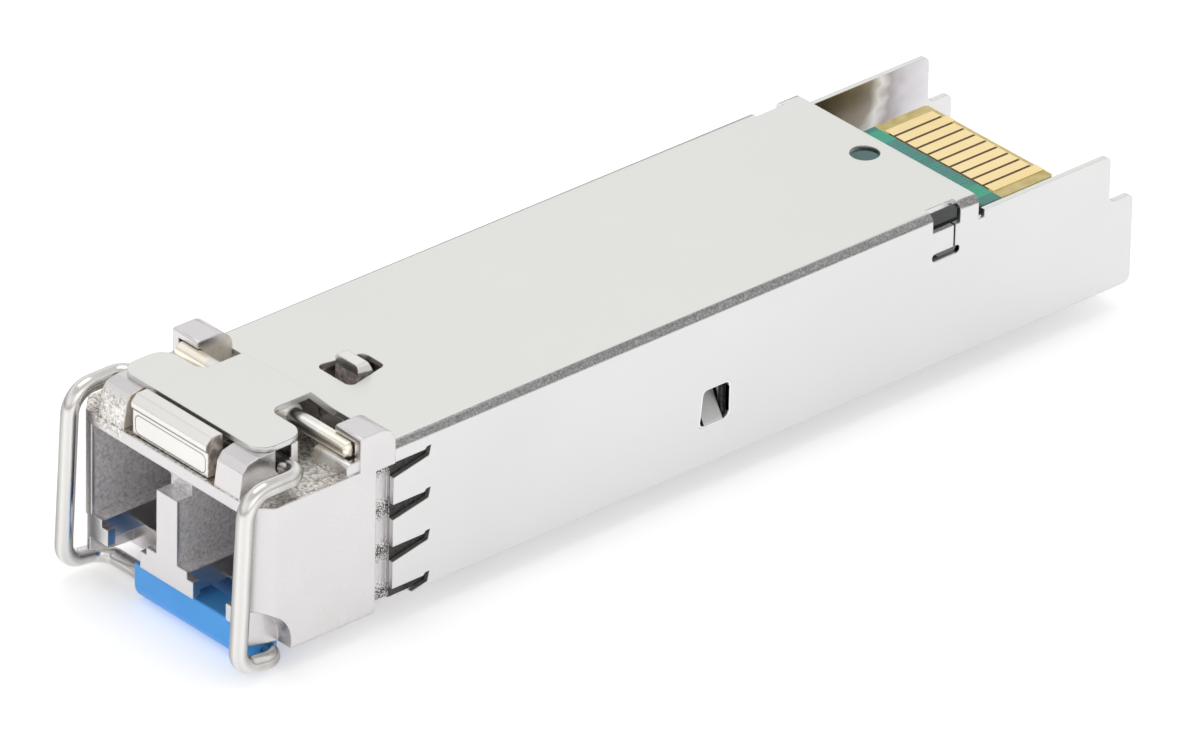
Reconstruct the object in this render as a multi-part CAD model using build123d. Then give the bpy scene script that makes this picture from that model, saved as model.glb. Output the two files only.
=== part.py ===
from build123d import *
import math
import os

# Small form-factor optical transceiver with a wire bail latch, in millimetres.
# +X is the transmit side, +Y runs from the optical ports to the board edge, and +Z is
# the latch side. The origin is below the latch shoulder, on the label-side plane.

# Envelope that slides into a cage
width = 13.4
height = 8.5
sheet = 0.3
bend_radius = 0.45
cover_front = -2.8
plate_rear = 34.6
overall_rear = 45.0
cover_fit = 0.02

# Nose outside the cage
nose_overhang = 0.15
nose_front = -11.1
nose_rear = -4.0
nose_bottom = -0.4
nose_drop = 0.65
nose_corner = 0.9
collar_inset = 0.45
collar_drop = 0.4

# Optical ports
port_pitch = 6.25
port_width = 4.75
port_roof = 0.65
port_floor = 2.3
port_rear = -4.0
optic_height = 4.95
latch_channel_width = 3.3
channel_floor = 1.0
channel_rear = -5.2
lip_depth = 0.5
lip_gap = 2.4
lip_height = 0.9
pillar_setback = 0.9
pillar_drop = 1.4

# Raised tongue of the cover over the latch
head_lift = 1.5
ramp_angle = 45.0
head_front = -9.75
head_rear = -6.9
head_half_width = 5.15
neck_half_width = 2.45
head_corner = 1.0
neck_corner = 0.6

# Bail
wire_diameter = 0.9
wire_sides = 12
bail_y = -8.3
bail_rise = 0.3
leg_top_y = -11.65
leg_bottom_y = -12.1
leg_bottom_z = -0.3
run_z = -0.7
cross_y = -9.5
shoulder_bend = 0.8
top_bend = 1.3
bottom_bend = 1.0
cam_height = 0.02
running_gap = 0.03

# Handle on the bail
handle_left = -2.8
handle_right = 5.5
handle_front = -10.75
handle_rear = -8.85
handle_bottom = -1.35
handle_top = 0.9
handle_corner = 0.35
handle_belly = 0.95
sweep_gap = 0.08
bail_recess_rear = -8.4
scallop_radius = 1.95
scallop_z = 0.2

# Latch rocker
pivot_y = -5.05
pivot_rise = 0.3
pivot_diameter = 0.9
pivot_setback = 0.55
pivot_chamfer = 0.18
hub_radius = 0.62
cam_gap = 0.17
nosepad_half_width = 2.75
nosepad_front = -11.0
nosepad_rear = -10.0
pad_foot = 0.75
panel_depth = 0.12
bead_radius = 0.35
bead_height = 0.65
front_arm_half_width = 2.0
front_arm_rise = 0.85
front_arm_slope = 0.2
rear_arm_half_width = 1.05
rear_arm_drop = 1.05
rear_arm_height = 0.5
rear_arm_end = 1.75
boss_height = 0.6
boss_half_width = 0.83
boss_flat = 0.65
boss_length = 1.5
boss_chamfer = 0.12
pad_gap = 0.1

# Rocker pocket and bearing saddles in the casting
pocket_gap = 0.15
pocket_depth = 1.0
spring_depth = 2.3
saddle_inner = 4.3
saddle_half_depth = 0.7
saddle_rise = 0.6
saddle_round = 0.3
ear_thickness = 1.85
ear_rise = 1.15
ear_front = -5.0
ear_front_round = 0.15
ear_rear_round = 0.95
block_inner = 3.3
block_outer = 5.15
block_rear = -7.4
post_lean = 0.3
post_shoulder = 0.55

# Leaf spring
leaf = 0.12
leaf_half_width = 0.8
leaf_front = -3.5
leaf_tip = 1.4

# Boss window and board window in the plate
window_front = -0.85
window_rear = 1.75
window_front_half = 1.3
window_rear_half = 0.75
window_corner = 0.35
sight_hole_y = 33.2
sight_hole_diameter = 1.5

# Spring fingers at the cover's front edge
finger_pitch = 2.3
finger_count = 4
finger_drop = 1.0
finger_slot_rear = -0.6
finger_mouth = 0.9
finger_throat = 0.4

# Lanced tongue and snap window in each side wall
lance_y = 17.55
lance_z = 2.15
lance_length = 1.9
lance_height = 1.95
lance_width = 1.2
lance_angle = 28.0
snap_front = 31.6
snap_rear = 33.4
snap_depth = 1.05
snap_slot_depth = 2.45
snap_slot_height = 0.42
snap_slit = 0.12

# Side walls behind the plate
wall_upper_drop = 0.9
wall_upper_rear = 43.4
wall_step = 2.65
wall_corner = 0.4
relief = 0.4

# Tray of the casting
core_rear = 2.5
floor_top = 1.0
rail_width = 1.18
rail_front = 8.6
rail_rear = 33.0
sill_top = 3.0
tray_rear = 44.6
rib_y = 21.0
rib_length = 1.6
rib_depth = 0.75
rib_rise = 0.75

# Circuit board
board_thickness = 1.0
board_depth = 2.25
board_front = 9.4
board_rear = 41.8
board_margin = 0.7
tail_front = 32.6
tail_width = 9.2
tail_chamfer = 0.35
board_gap = 0.05

# Edge contacts
contact_pitch = 0.8
contact_count = 10
contact_width = 0.64
contact_thickness = 0.04
contact_front = 38.2
contact_rear = 41.35
contact_extra = 0.25

# Optical sub-assemblies
seat_wall_rear = -1.6
ferrule_radius = 0.625
ferrule_clearance = 0.005
light_path_radius = 0.35
barrel_front = -7.6
barrel_radius = 1.475
barrel_bore_clearance = 0.06
mouth_clearance = 0.01
mouth_depth = 0.35
barrel_chamfer = 0.2
sleeve_wall = 0.19
sleeve_slit = 0.14
sleeve_clearance = 0.03
sleeve_rear = -2.9
flange_radius = 2.0
flange_clearance = 0.05
flange_length = 0.8
neck_radius = 1.65
second_flange_front = 1.6
barrel_rear = 3.4
body_radius = 1.8
can_radius = 2.35
can_flange_radius = 2.7
can_front = 3.4
can_rear = 6.2
can_flange_length = 1.2
lead_width = 0.4
lead_circle = 0.9
lead_length = 1.6

# Clamp that holds the sub-assemblies in their seats
clamp_thickness = 0.4
clamp_inset = 0.28
clamp_drop = 0.8
clamp_foot = 1.6

# Flexible circuits
flex_thickness = 0.14
flex_half_width = 1.5
flex_drop = 2.7
flex_bend = 0.5
flex_reach = 2.2

# Components on the board
chip_height = 0.9
chip_lead_thickness = 0.2
chip_lead_reach = 0.3
large_chip = 5.0
medium_chip = 4.0
small_chip = 3.0
chip_offset = 2.6
front_chip_y = 14.6
middle_chip_x = 0.9
middle_chip_y = 21.4
rear_chip_y = 27.6
passive_length = 1.0
passive_width = 0.5
capacitor_height = 0.5
resistor_height = 0.35
passive_pitch = 1.3
passive_inset = 1.38
passive_front = 18.4
passive_rear = 25.4
inductor_length = 2.0
inductor_width = 1.25
inductor_y = 30.4
inductor_offset = 1.7


def slab(x_low, x_high, y_low, y_high, z_low, z_high):
    """A block given by its limits."""
    size = (x_high - x_low, y_high - y_low, z_high - z_low)
    centre = ((x_low + x_high) / 2, (y_low + y_high) / 2, (z_low + z_high) / 2)
    return Pos(*centre) * Box(*size)


def prism_x(outline, x_low, x_high):
    """A (y, z) outline carried along X."""
    face = make_face(Polyline(*outline, close=True))
    return extrude(Plane.YZ.offset(x_low) * face, amount=x_high - x_low)


def prism_y(outline, y_low, y_high):
    """An (x, z) outline carried along Y."""
    face = make_face(Polyline(*outline, close=True))
    return extrude(Plane.XZ.offset(-y_high) * face, amount=y_high - y_low)


def rod_x(radius, y, z, x_low, x_high):
    """A cylinder along X."""
    place = Pos((x_low + x_high) / 2, y, z) * Rot(0, 90, 0)
    return place * Cylinder(radius, x_high - x_low)


def rod_y(radius, x, z, y_low, y_high):
    """A cylinder along Y."""
    place = Pos(x, (y_low + y_high) / 2, z) * Rot(90, 0, 0)
    return place * Cylinder(radius, y_high - y_low)


def both_sides(shape):
    """A shape and its mirror image across the middle plane."""
    return shape + mirror(shape, about=Plane.YZ)


def rounded_plan(outline, radii):
    """An (x, y) outline with its own radius at each corner."""
    path = FilletPolyline(*outline, radius=radii, close=True)
    return make_face(path)


# Places that several pieces share
nose_half = width / 2 + nose_overhang
nose_top = height - nose_drop
collar_half = width / 2 - collar_inset
collar_top = height - collar_drop
port_top = nose_top - port_roof
pillar_face_top = port_top - pillar_drop
bail_z = height + bail_rise
pivot_z = height + pivot_rise
pivot_end = nose_half - pivot_setback
rear_arm_top = height - rear_arm_drop
rear_arm_bottom = rear_arm_top - rear_arm_height
front_arm_top = height + front_arm_rise
pocket_floor = height - pocket_depth
spring_floor = height - spring_depth
saddle_top = nose_top + saddle_rise
ear_inner = nose_half - ear_thickness
ear_top = height + ear_rise
board_top = height - board_depth
wall_upper_z = height - wall_upper_drop
inner_half = width / 2 - sheet
casting_half = inner_half - cover_fit
plate_under = height - sheet
head_under = plate_under + head_lift
wire_radius = wire_diameter / 2
leg_x = nose_half - wire_radius
pivot_bar_half = leg_x - shoulder_bend - pad_gap
pivot_radius = pivot_diameter / 2
ramp_shift = sheet * math.tan(math.radians(ramp_angle / 2))
ramp_run = head_lift / math.tan(math.radians(ramp_angle))
board_under = board_top - board_thickness
board_half_width = inner_half - board_margin
rail_inner = casting_half - rail_width
rib_top = board_top + rib_rise
passive_offset = board_half_width - passive_inset
port_centre = port_pitch / 2
sleeve_bore = ferrule_radius + ferrule_clearance
sleeve_radius = sleeve_bore + sleeve_wall
mouth_radius = sleeve_bore + mouth_clearance
lip_corner_reach = math.hypot(nose_front - bail_y, channel_floor - bail_z)
handle_sweep = lip_corner_reach + sweep_gap
wire_sweep = math.hypot(cross_y + wire_radius - bail_y, run_z + wire_radius - bail_z)


def cover_shell():
    """The folded channel: the plate and both side walls."""
    half = width / 2
    outer = make_face(Polyline((-half, 0), (-half, height), (half, height), (half, 0), close=True))
    outer = fillet(outer.vertices().sort_by(Axis.Y)[-2:], bend_radius)
    inner = make_face(
        Polyline(
            (-inner_half, -sheet),
            (-inner_half, plate_under),
            (inner_half, plate_under),
            (inner_half, -sheet),
            close=True,
        )
    )
    inner = fillet(inner.vertices().sort_by(Axis.Y)[-2:], bend_radius - sheet)
    section = outer - inner
    depth = overall_rear - cover_front
    shell = extrude(Plane.XZ.offset(-overall_rear) * section, amount=depth)
    return shell & wall_outline()


def wall_outline():
    """The side view of the shell, stepped down behind the plate."""
    outline = [
        (cover_front, 0),
        (overall_rear, 0),
        (overall_rear, wall_upper_z - wall_step),
        (wall_upper_rear, wall_upper_z - wall_step),
        (wall_upper_rear, wall_upper_z),
        (plate_rear, wall_upper_z),
        (plate_rear, height),
        (cover_front, height),
    ]
    face = make_face(Polyline(*outline, close=True))
    rounded = [v for v in face.vertices() if v.X > plate_rear + relief]
    face = fillet(rounded, wall_corner)
    return extrude(Plane.YZ.offset(-width) * face, amount=2 * width)


def raised_tongue():
    """The neck that steps up from the plate, and the T-shaped head over the latch."""
    foot = cover_front
    top = head_front
    side = [
        (foot + bend_radius, height),
        (foot, height),
        (foot - ramp_run, height + head_lift),
        (top, height + head_lift),
        (top, head_under),
        (foot - ramp_run - ramp_shift, head_under),
        (foot - ramp_shift, plate_under),
        (foot + bend_radius, plate_under),
    ]
    strip = prism_x(side, -head_half_width, head_half_width)
    neck = neck_half_width
    plan = [
        (-head_half_width, head_front),
        (head_half_width, head_front),
        (head_half_width, head_rear),
        (neck, head_rear),
        (neck, foot + bend_radius),
        (-neck, foot + bend_radius),
        (-neck, head_rear),
        (-head_half_width, head_rear),
    ]
    outer = head_corner
    square = bend_radius / 10
    radii = [outer, outer, outer, neck_corner, square, square, neck_corner, outer]
    return strip & extrude(rounded_plan(plan, radii), amount=2 * height)


def boss_window():
    """The opening in the plate that the latch boss stands through."""
    plan = [
        (-window_front_half, window_front),
        (window_front_half, window_front),
        (window_rear_half, window_rear),
        (-window_rear_half, window_rear),
    ]
    face = rounded_plan(plan, [window_corner] * len(plan))
    return Pos(0, 0, plate_under - sheet) * extrude(face, amount=3 * sheet)


def finger_slots():
    """Wedge slots that divide the cover's front edge into spring fingers."""
    cuts = []
    for index in range(finger_count):
        z = height - finger_drop - index * finger_pitch
        hook = finger_throat / 3
        outline = [
            (cover_front - sheet, z),
            (cover_front - sheet, z - finger_mouth),
            (finger_slot_rear, z - finger_throat),
            (finger_slot_rear + hook, z + hook),
            (finger_slot_rear - hook, z + hook),
            (finger_slot_rear - 2 * hook, z),
        ]
        cuts.append(prism_x(outline, -width, width))
    return cuts


def lance_window():
    """The punched window around a side wall's tongue."""
    front = lance_y - lance_length / 2
    rear = lance_y + lance_length / 2
    slope = lance_length / 8
    outline = [
        (front, lance_z),
        (rear, lance_z),
        (rear, lance_z + lance_height),
        (front + slope, lance_z + lance_height),
    ]
    return prism_x(outline, -width, width)


def lance_tongue():
    """The tongue of the right wall, bent inwards about its lower edge."""
    reach = lance_height * math.tan(math.radians(lance_angle))
    low = lance_z - sheet / 4
    high = lance_z + lance_height * 0.85
    outline = [
        (width / 2, low),
        (width / 2 - reach, high),
        (width / 2 - reach - sheet, high),
        (inner_half, low),
    ]
    return prism_y(outline, lance_y - lance_width / 2, lance_y + lance_width / 2)


def snap_cuts():
    """The window through the bend, the slot below it and the slit that joins them."""
    snap_sill = height - snap_depth
    snap_slot_z = height - snap_slot_depth
    window = slab(inner_half - sheet, width, snap_front, snap_rear, snap_sill, height + sheet)
    low = snap_slot_z - snap_slot_height / 2
    high = snap_slot_z + snap_slot_height / 2
    slot = slab(inner_half - sheet, width, snap_front, snap_rear, low, high)
    slot_edges = slot.edges().filter_by(Axis.X)
    slot = fillet(slot_edges, snap_slot_height / 2.2)
    slit_y = snap_rear - snap_slot_height
    slit = slab(inner_half - sheet, width, slit_y, slit_y + snap_slit, snap_slot_z, snap_sill + sheet)
    return both_sides(window + slot + slit)


def steel_cover():
    cover = cover_shell() + raised_tongue()
    cover -= boss_window()
    cover -= Pos(0, sight_hole_y, height) * Cylinder(sight_hole_diameter / 2, 2)
    for cut in finger_slots():
        cover -= cut
    cover -= lance_window()
    cover -= snap_cuts()
    notch = slab(inner_half - sheet, width, plate_rear, plate_rear + relief, wall_upper_z - relief, height)
    cover -= both_sides(notch)
    return cover + both_sides(lance_tongue())


def nose_body():
    """The outer block of the nose, with sloped top corners and rounded front edges."""
    body = slab(-nose_half, nose_half, nose_front, nose_rear, nose_bottom, nose_top)
    front_edges = body.edges().filter_by(Axis.Z).sort_by(Axis.Y)[:2]
    body = chamfer(front_edges, nose_corner)
    bottom_edges = body.edges().filter_by(Axis.Y).sort_by(Axis.Z)[:2]
    return fillet(bottom_edges, bend_radius)


def head_supports():
    """The two blocks that carry the cover's head and the bail's journals."""
    outline = [
        (nose_front, port_top),
        (nose_front + post_lean, head_under - post_shoulder),
        (nose_front + post_lean + sheet, head_under - sheet / 2),
        (head_front - pad_gap, head_under),
        (block_rear, head_under),
        (block_rear, port_top),
    ]
    block = prism_x(outline, block_inner, block_outer)
    journal = rod_x(wire_radius + running_gap, bail_y, bail_z, block_inner - 1, block_outer + 1)
    reach = wire_radius + running_gap
    mouth = slab(block_inner - 1, block_outer + 1, bail_y - reach, bail_y + reach, bail_z, height + head_lift)
    return both_sides(block - journal - mouth)


def ears():
    """The arched ears behind the rocker's pivot, flush with the sides of the nose."""
    rear = cover_front - cover_fit
    ear = slab(ear_inner, nose_half, ear_front, rear, nose_top - sheet, ear_top)
    crown = ear.edges().filter_by(Axis.X).sort_by(Axis.Z)[-2:].sort_by(Axis.Y)
    ear = fillet(crown[-1], ear_rear_round)
    crown = ear.edges().filter_by(Axis.X).group_by(Axis.Y)[0].sort_by(Axis.Z)[-1]
    return both_sides(fillet(crown, ear_front_round))


def saddles():
    """Half-round bearings for the rocker's pivot."""
    front = pivot_y - saddle_half_depth
    rear = pivot_y + saddle_half_depth
    block = slab(saddle_inner, nose_half - pad_gap, front, rear, pocket_floor - sheet, saddle_top)
    brow = block.edges().filter_by(Axis.X).sort_by(Axis.Z)[-2:].sort_by(Axis.Y)[0]
    return both_sides(fillet(brow, saddle_round))


def pivot_trough():
    """The running surface of both saddles."""
    end = pivot_end + pad_gap
    return rod_x(pivot_radius + running_gap, pivot_y, pivot_z, -end, end)


def rocker_pocket():
    """The space the rocker swings in."""
    hub_half = front_arm_half_width + pocket_gap
    wide = slab(-ear_inner, ear_inner, block_rear, cover_front, nose_top - sheet, 2 * height)
    front = slab(-block_inner, block_inner, nose_front - 1, block_rear, nose_top, height)
    hub = slab(-hub_half, hub_half, block_rear, cover_front, pocket_floor, height)
    rear_half = rear_arm_half_width + pocket_gap
    deep = slab(-rear_half, rear_half, port_rear + pad_gap, core_rear - sheet, spring_floor, height)
    return wide + front + hub + deep


def port_cavity():
    """The right port: plug space, latch channel and front lip gap."""
    x = port_centre
    plug = slab(x - port_width / 2, x + port_width / 2, nose_front - 1, port_rear, port_floor, port_top)
    half = latch_channel_width / 2
    channel_front = nose_front + lip_depth
    channel = slab(x - half, x + half, channel_front, channel_rear, channel_floor, port_floor + sheet)
    lip_top = channel_floor + lip_height
    upper = slab(x - half, x + half, nose_front - 1, channel_front, lip_top, port_floor + sheet)
    gap = slab(x - lip_gap / 2, x + lip_gap / 2, nose_front - 1, channel_front, 0, lip_top)
    return plug + channel + upper + gap


def pillar_relief():
    """The set-back top of the post between the ports."""
    half = port_pitch / 2 - port_width / 2 + pad_gap
    return slab(-half, half, nose_front - 1, nose_front + pillar_setback, pillar_face_top, port_top)


def bail_recess():
    """The room under the nose for the closed bail and its handle."""
    half = handle_right + pad_gap
    inner = slab(-half, half, nose_front - 1, bail_recess_rear, nose_bottom - 1, channel_floor)
    outer = slab(-width, width, nose_front - 1, bail_recess_rear, nose_bottom - 1, port_floor)
    kept = rod_x(wire_sweep - sweep_gap, bail_y, bail_z, -width, width)
    return inner + (outer - kept)


def corner_scallops():
    """Round cuts in the nose's lower front corners, beside the bail's bends."""
    inner = leg_x - wire_radius - pad_gap
    return both_sides(rod_x(scallop_radius, nose_front, scallop_z, inner, width))


def optic_seats():
    """Bores for the two sub-assemblies, through the seat wall and the core behind it."""
    bore = rod_y(barrel_radius + barrel_bore_clearance, port_centre, optic_height, port_rear - 1, core_rear)
    seat = rod_y(flange_radius + flange_clearance, port_centre, optic_height, seat_wall_rear, core_rear + 1)
    return both_sides(bore + seat)


def tray():
    """The floor behind the core, its board rails and its locating ribs."""
    floor = slab(-casting_half, casting_half, core_rear - 1, tray_rear, 0, floor_top)
    sill = slab(casting_half - sheet * 2, casting_half, core_rear - 1, rail_front, 0, sill_top)
    rail = slab(rail_inner, casting_half, rail_front, rail_rear, 0, board_under)
    rib_inner = board_half_width - rib_depth + board_gap
    rib = slab(rib_inner, casting_half, rib_y - rib_length / 2, rib_y + rib_length / 2, floor_top, rib_top)
    rib_edges = rib.edges().filter_by(Axis.Y).sort_by(Axis.Z)[-2:]
    rib = chamfer(rib_edges, rib_depth / 4)
    kerb = slab(rail_inner + sheet, casting_half, rail_rear - 1, tray_rear, 0, sill_top / 2)
    return floor + both_sides(sill + rail + rib + kerb)


def lance_pockets():
    """Recesses in the rails that the cover's tongues snap into."""
    depth = lance_height * math.tan(math.radians(lance_angle)) + 2 * sheet
    front = lance_y - lance_width / 2 - pad_gap
    rear = lance_y + lance_width / 2 + pad_gap
    pocket = slab(width / 2 - depth, width, front, rear, lance_z - sheet, board_under - sheet)
    return both_sides(pocket)


def housing_casting():
    body = nose_body()
    body += slab(-collar_half, collar_half, nose_rear - 1, cover_front, 0, collar_top)
    core = slab(-casting_half, casting_half, cover_front - cover_fit, core_rear, 0, plate_under - cover_fit)
    body += chamfer(core.edges().filter_by(Axis.Y).sort_by(Axis.Z)[-2:], bend_radius / 2)
    body += tray()
    body -= rocker_pocket()
    body += head_supports()
    body += ears()
    body += saddles()
    body -= pivot_trough()
    body -= both_sides(port_cavity())
    body -= pillar_relief()
    body -= bail_recess()
    body -= corner_scallops()
    body -= optic_seats()
    body -= lance_pockets()
    return body


def cam_face():
    """Height of the front arm's underside above the bail's cam."""
    return bail_z + cam_height + cam_gap


def nose_pad():
    """Pad in front of the cover's head, with a bead along its top edge."""
    bottom = nose_top + pad_gap / 2
    top = height + head_lift
    panel = nosepad_front + panel_depth
    outline = [
        (panel, bottom),
        (nosepad_rear + pad_foot, bottom),
        (nosepad_rear + pad_foot, cam_face()),
        (nosepad_rear, cam_face()),
        (nosepad_rear, top),
        (nosepad_front + bead_radius, top),
        (nosepad_front, top - bead_radius),
        (nosepad_front, top - bead_height),
        (panel, top - bead_height - panel_depth),
    ]
    return prism_x(outline, -nosepad_half_width, nosepad_half_width)


def front_arm():
    """Arm over the bail's cam."""
    outline = [
        (nosepad_rear, cam_face()),
        (block_rear - pad_gap, cam_face()),
        (block_rear + sheet, pivot_z - sheet),
        (pivot_y, pivot_z - sheet),
        (pivot_y, pivot_z + hub_radius),
        (block_rear + sheet, front_arm_top),
        (nosepad_rear, front_arm_top - front_arm_slope),
    ]
    return prism_x(outline, -front_arm_half_width, front_arm_half_width)


def rear_arm():
    """Arm that carries the boss and rests on the leaf spring."""
    step = port_rear + pad_gap + 2 * pocket_gap
    outline = [
        (pivot_y, pivot_z - hub_radius),
        (step - pocket_gap, pocket_floor + 2 * pocket_gap),
        (step, rear_arm_bottom),
        (rear_arm_end, rear_arm_bottom),
        (rear_arm_end, rear_arm_top - sheet),
        (rear_arm_end - sheet, rear_arm_top),
        (cover_front - pocket_gap, rear_arm_top),
        (pivot_y + pocket_gap, pivot_z + hub_radius),
        (pivot_y, pivot_z + hub_radius),
    ]
    return prism_x(outline, -rear_arm_half_width, rear_arm_half_width)


def latch_boss():
    """Wedge with a square front face and a flat top, sloped down to the rear."""
    outline = [
        (0, rear_arm_top - sheet),
        (0, height + boss_height),
        (boss_flat, height + boss_height),
        (boss_length, rear_arm_top),
        (boss_length, rear_arm_top - sheet),
    ]
    boss = prism_x(outline, -boss_half_width, boss_half_width)
    crown = boss.faces().sort_by(Axis.Z)[-1].edges().filter_by(Axis.Y)
    return chamfer(crown, boss_chamfer)


def latch_rocker():
    """Lever whose nose pad the bail lifts, and whose boss locks into the cage."""
    body = nose_pad() + front_arm() + rear_arm() + latch_boss()
    body += rod_x(hub_radius, pivot_y, pivot_z, -front_arm_half_width, front_arm_half_width)
    pivot = rod_x(pivot_radius, pivot_y, pivot_z, -pivot_end, pivot_end)
    return body + chamfer(pivot.edges().filter_by(GeomType.CIRCLE), pivot_chamfer)


def latch_spring():
    """Leaf that lies in the pocket and lifts the rocker's rear arm."""
    gap = cover_fit
    tip_z = rear_arm_bottom - gap
    base = spring_floor
    knee = leaf_front + (leaf_tip - leaf_front) / 3
    outline = [
        (leaf_front, base),
        (knee, base),
        (leaf_tip, tip_z - leaf * 1.5),
        (leaf_tip + leaf * 2, tip_z - leaf * 2.5),
        (leaf_tip + leaf * 3, tip_z - leaf * 1.7),
        (leaf_tip + leaf, tip_z),
        (leaf_tip - leaf, tip_z - leaf / 2),
        (knee - leaf, base + leaf),
        (leaf_front, base + leaf),
    ]
    return prism_x(outline, -leaf_half_width, leaf_half_width)


def bail_wire():
    """Closed loop of wire: round pivot bar, two legs, and the cross run in the handle."""
    half_path = [
        (pivot_bar_half, bail_y, bail_z),
        (leg_x, bail_y, bail_z),
        (leg_x, leg_top_y, bail_z),
        (leg_x, leg_bottom_y, leg_bottom_z),
        (leg_x, cross_y, run_z),
        (0, cross_y, run_z),
    ]
    bends = [shoulder_bend, top_bend, bottom_bend, bottom_bend]
    path = FilletPolyline(*half_path, radius=bends)
    section = Plane(origin=half_path[0], z_dir=(1, 0, 0)) * RegularPolygon(wire_radius, wire_sides)
    half = sweep(section, path=path)
    loop = rod_x(wire_radius, bail_y, bail_z, -pivot_bar_half, pivot_bar_half) + both_sides(half)
    flat_half = block_inner - pad_gap
    flat = slab(-flat_half, flat_half, bail_y - 1, bail_y + 1, bail_z + cam_height, bail_z + 1)
    return loop - flat


def bail_handle():
    """Moulded pull bar on the bail's cross run, hollowed to swing past the nose's lips."""
    bar = slab(handle_left, handle_right, handle_front, handle_rear, handle_bottom, handle_top)
    along = bar.edges().filter_by(Axis.X).sort_by(Axis.Z)
    belly = along[:2].sort_by(Axis.Y)[0]
    bar = fillet(belly, handle_belly)
    square = bar.edges().filter_by(Axis.X).group_by(Axis.Y)
    bar = fillet([square[-1].sort_by(Axis.Z)[0], square[0].sort_by(Axis.Z)[-1]], handle_corner)
    bar -= rod_x(handle_sweep, bail_y, bail_z, handle_left - 1, handle_right + 1)
    return bar - rod_x(wire_radius + cover_fit, cross_y, run_z, handle_left - 1, handle_right + 1)


def optic_barrel(x):
    """Turned receptacle: plug nose, seating flange, neck and body."""
    outline = [
        (mouth_radius, barrel_front),
        (barrel_radius - barrel_chamfer, barrel_front),
        (barrel_radius, barrel_front + barrel_chamfer),
        (barrel_radius, seat_wall_rear),
        (flange_radius, seat_wall_rear),
        (flange_radius, seat_wall_rear + flange_length),
        (neck_radius, seat_wall_rear + flange_length),
        (neck_radius, second_flange_front),
        (flange_radius, second_flange_front),
        (flange_radius, core_rear),
        (body_radius, core_rear),
        (body_radius, barrel_rear),
        (light_path_radius, barrel_rear),
        (light_path_radius, sleeve_rear + sleeve_clearance),
        (sleeve_radius + sleeve_clearance, sleeve_rear + sleeve_clearance),
        (sleeve_radius + sleeve_clearance, barrel_front + mouth_depth),
        (mouth_radius, barrel_front + mouth_depth),
    ]
    face = make_face(Polyline(*outline, close=True))
    turned = revolve(face, axis=Axis.Y)
    return Pos(x, 0, optic_height) * turned


def split_sleeve(x):
    """Ceramic sleeve that centres the plug's ferrule, slit along its length."""
    front = barrel_front + mouth_depth + sleeve_clearance
    tube = rod_y(sleeve_radius, x, optic_height, front, sleeve_rear)
    tube -= rod_y(sleeve_bore, x, optic_height, front - 1, sleeve_rear + 1)
    slit = slab(x - sleeve_slit / 2, x + sleeve_slit / 2, front - 1, sleeve_rear + 1, optic_height, height)
    return tube - slit


def can_leads(x, half_width):
    """Four square pins on a circle behind a can."""
    pins = []
    offset = lead_circle / math.sqrt(2)
    for side, level in ((1, 1), (1, -1), (-1, 1), (-1, -1)):
        lead_x = x + side * offset
        lead_z = optic_height + level * offset
        pins.append(
            slab(
                lead_x - half_width,
                lead_x + half_width,
                can_rear,
                can_rear + lead_length,
                lead_z - half_width,
                lead_z + half_width,
            )
        )
    return pins


def optic_can(x):
    """Sealed metal can with its header flange and four leads."""
    can = rod_y(can_radius, x, optic_height, can_front, can_rear)
    can += rod_y(can_flange_radius, x, optic_height, can_rear - can_flange_length, can_rear)
    for lead in can_leads(x, lead_width / 2):
        can += lead
    return can


def optic_flex(x):
    """Flexible circuit from a can's leads up and over onto the board."""
    rear = can_rear + lead_length / 2
    low = optic_height - flex_drop / 2
    top = board_top + flex_thickness
    path = [
        (rear, low),
        (rear + flex_thickness, low),
        (rear + flex_thickness, board_top),
        (board_front + flex_reach, board_top),
        (board_front + flex_reach, top),
        (rear, top),
    ]
    face = make_face(Polyline(*path, close=True))
    corner = [v for v in face.vertices() if v.X < rear + pad_gap and v.Y > board_top]
    face = fillet(corner, flex_bend)
    inner = face.vertices().sort_by_distance((rear + flex_thickness, board_top))[0]
    face = fillet(inner, flex_bend - flex_thickness)
    flex = extrude(Plane.YZ.offset(x - flex_half_width) * face, amount=2 * flex_half_width)
    for hole in can_leads(x, lead_width / 2 + cover_fit):
        flex -= hole
    return flex


def optics_clamp():
    """Plate that holds both barrels against their seats, with a foot on the tray floor."""
    rear = core_rear + clamp_thickness
    half = casting_half - clamp_inset
    plate = slab(-half, half, core_rear, rear, floor_top, height - clamp_drop)
    plate = fillet(plate.edges().filter_by(Axis.Y).sort_by(Axis.Z)[-2:], sill_top / 4)
    foot_half = port_centre - body_radius
    plate += slab(-foot_half, foot_half, core_rear, rear + clamp_foot, floor_top, floor_top + clamp_thickness)
    hole = rod_y(body_radius + board_gap, port_centre, optic_height, core_rear - 1, rear + 1)
    sill_relief = slab(casting_half - sheet * 3, width, core_rear - 1, rear + 1, 0, sill_top + sheet)
    return plate - both_sides(hole) - both_sides(sill_relief)


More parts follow.
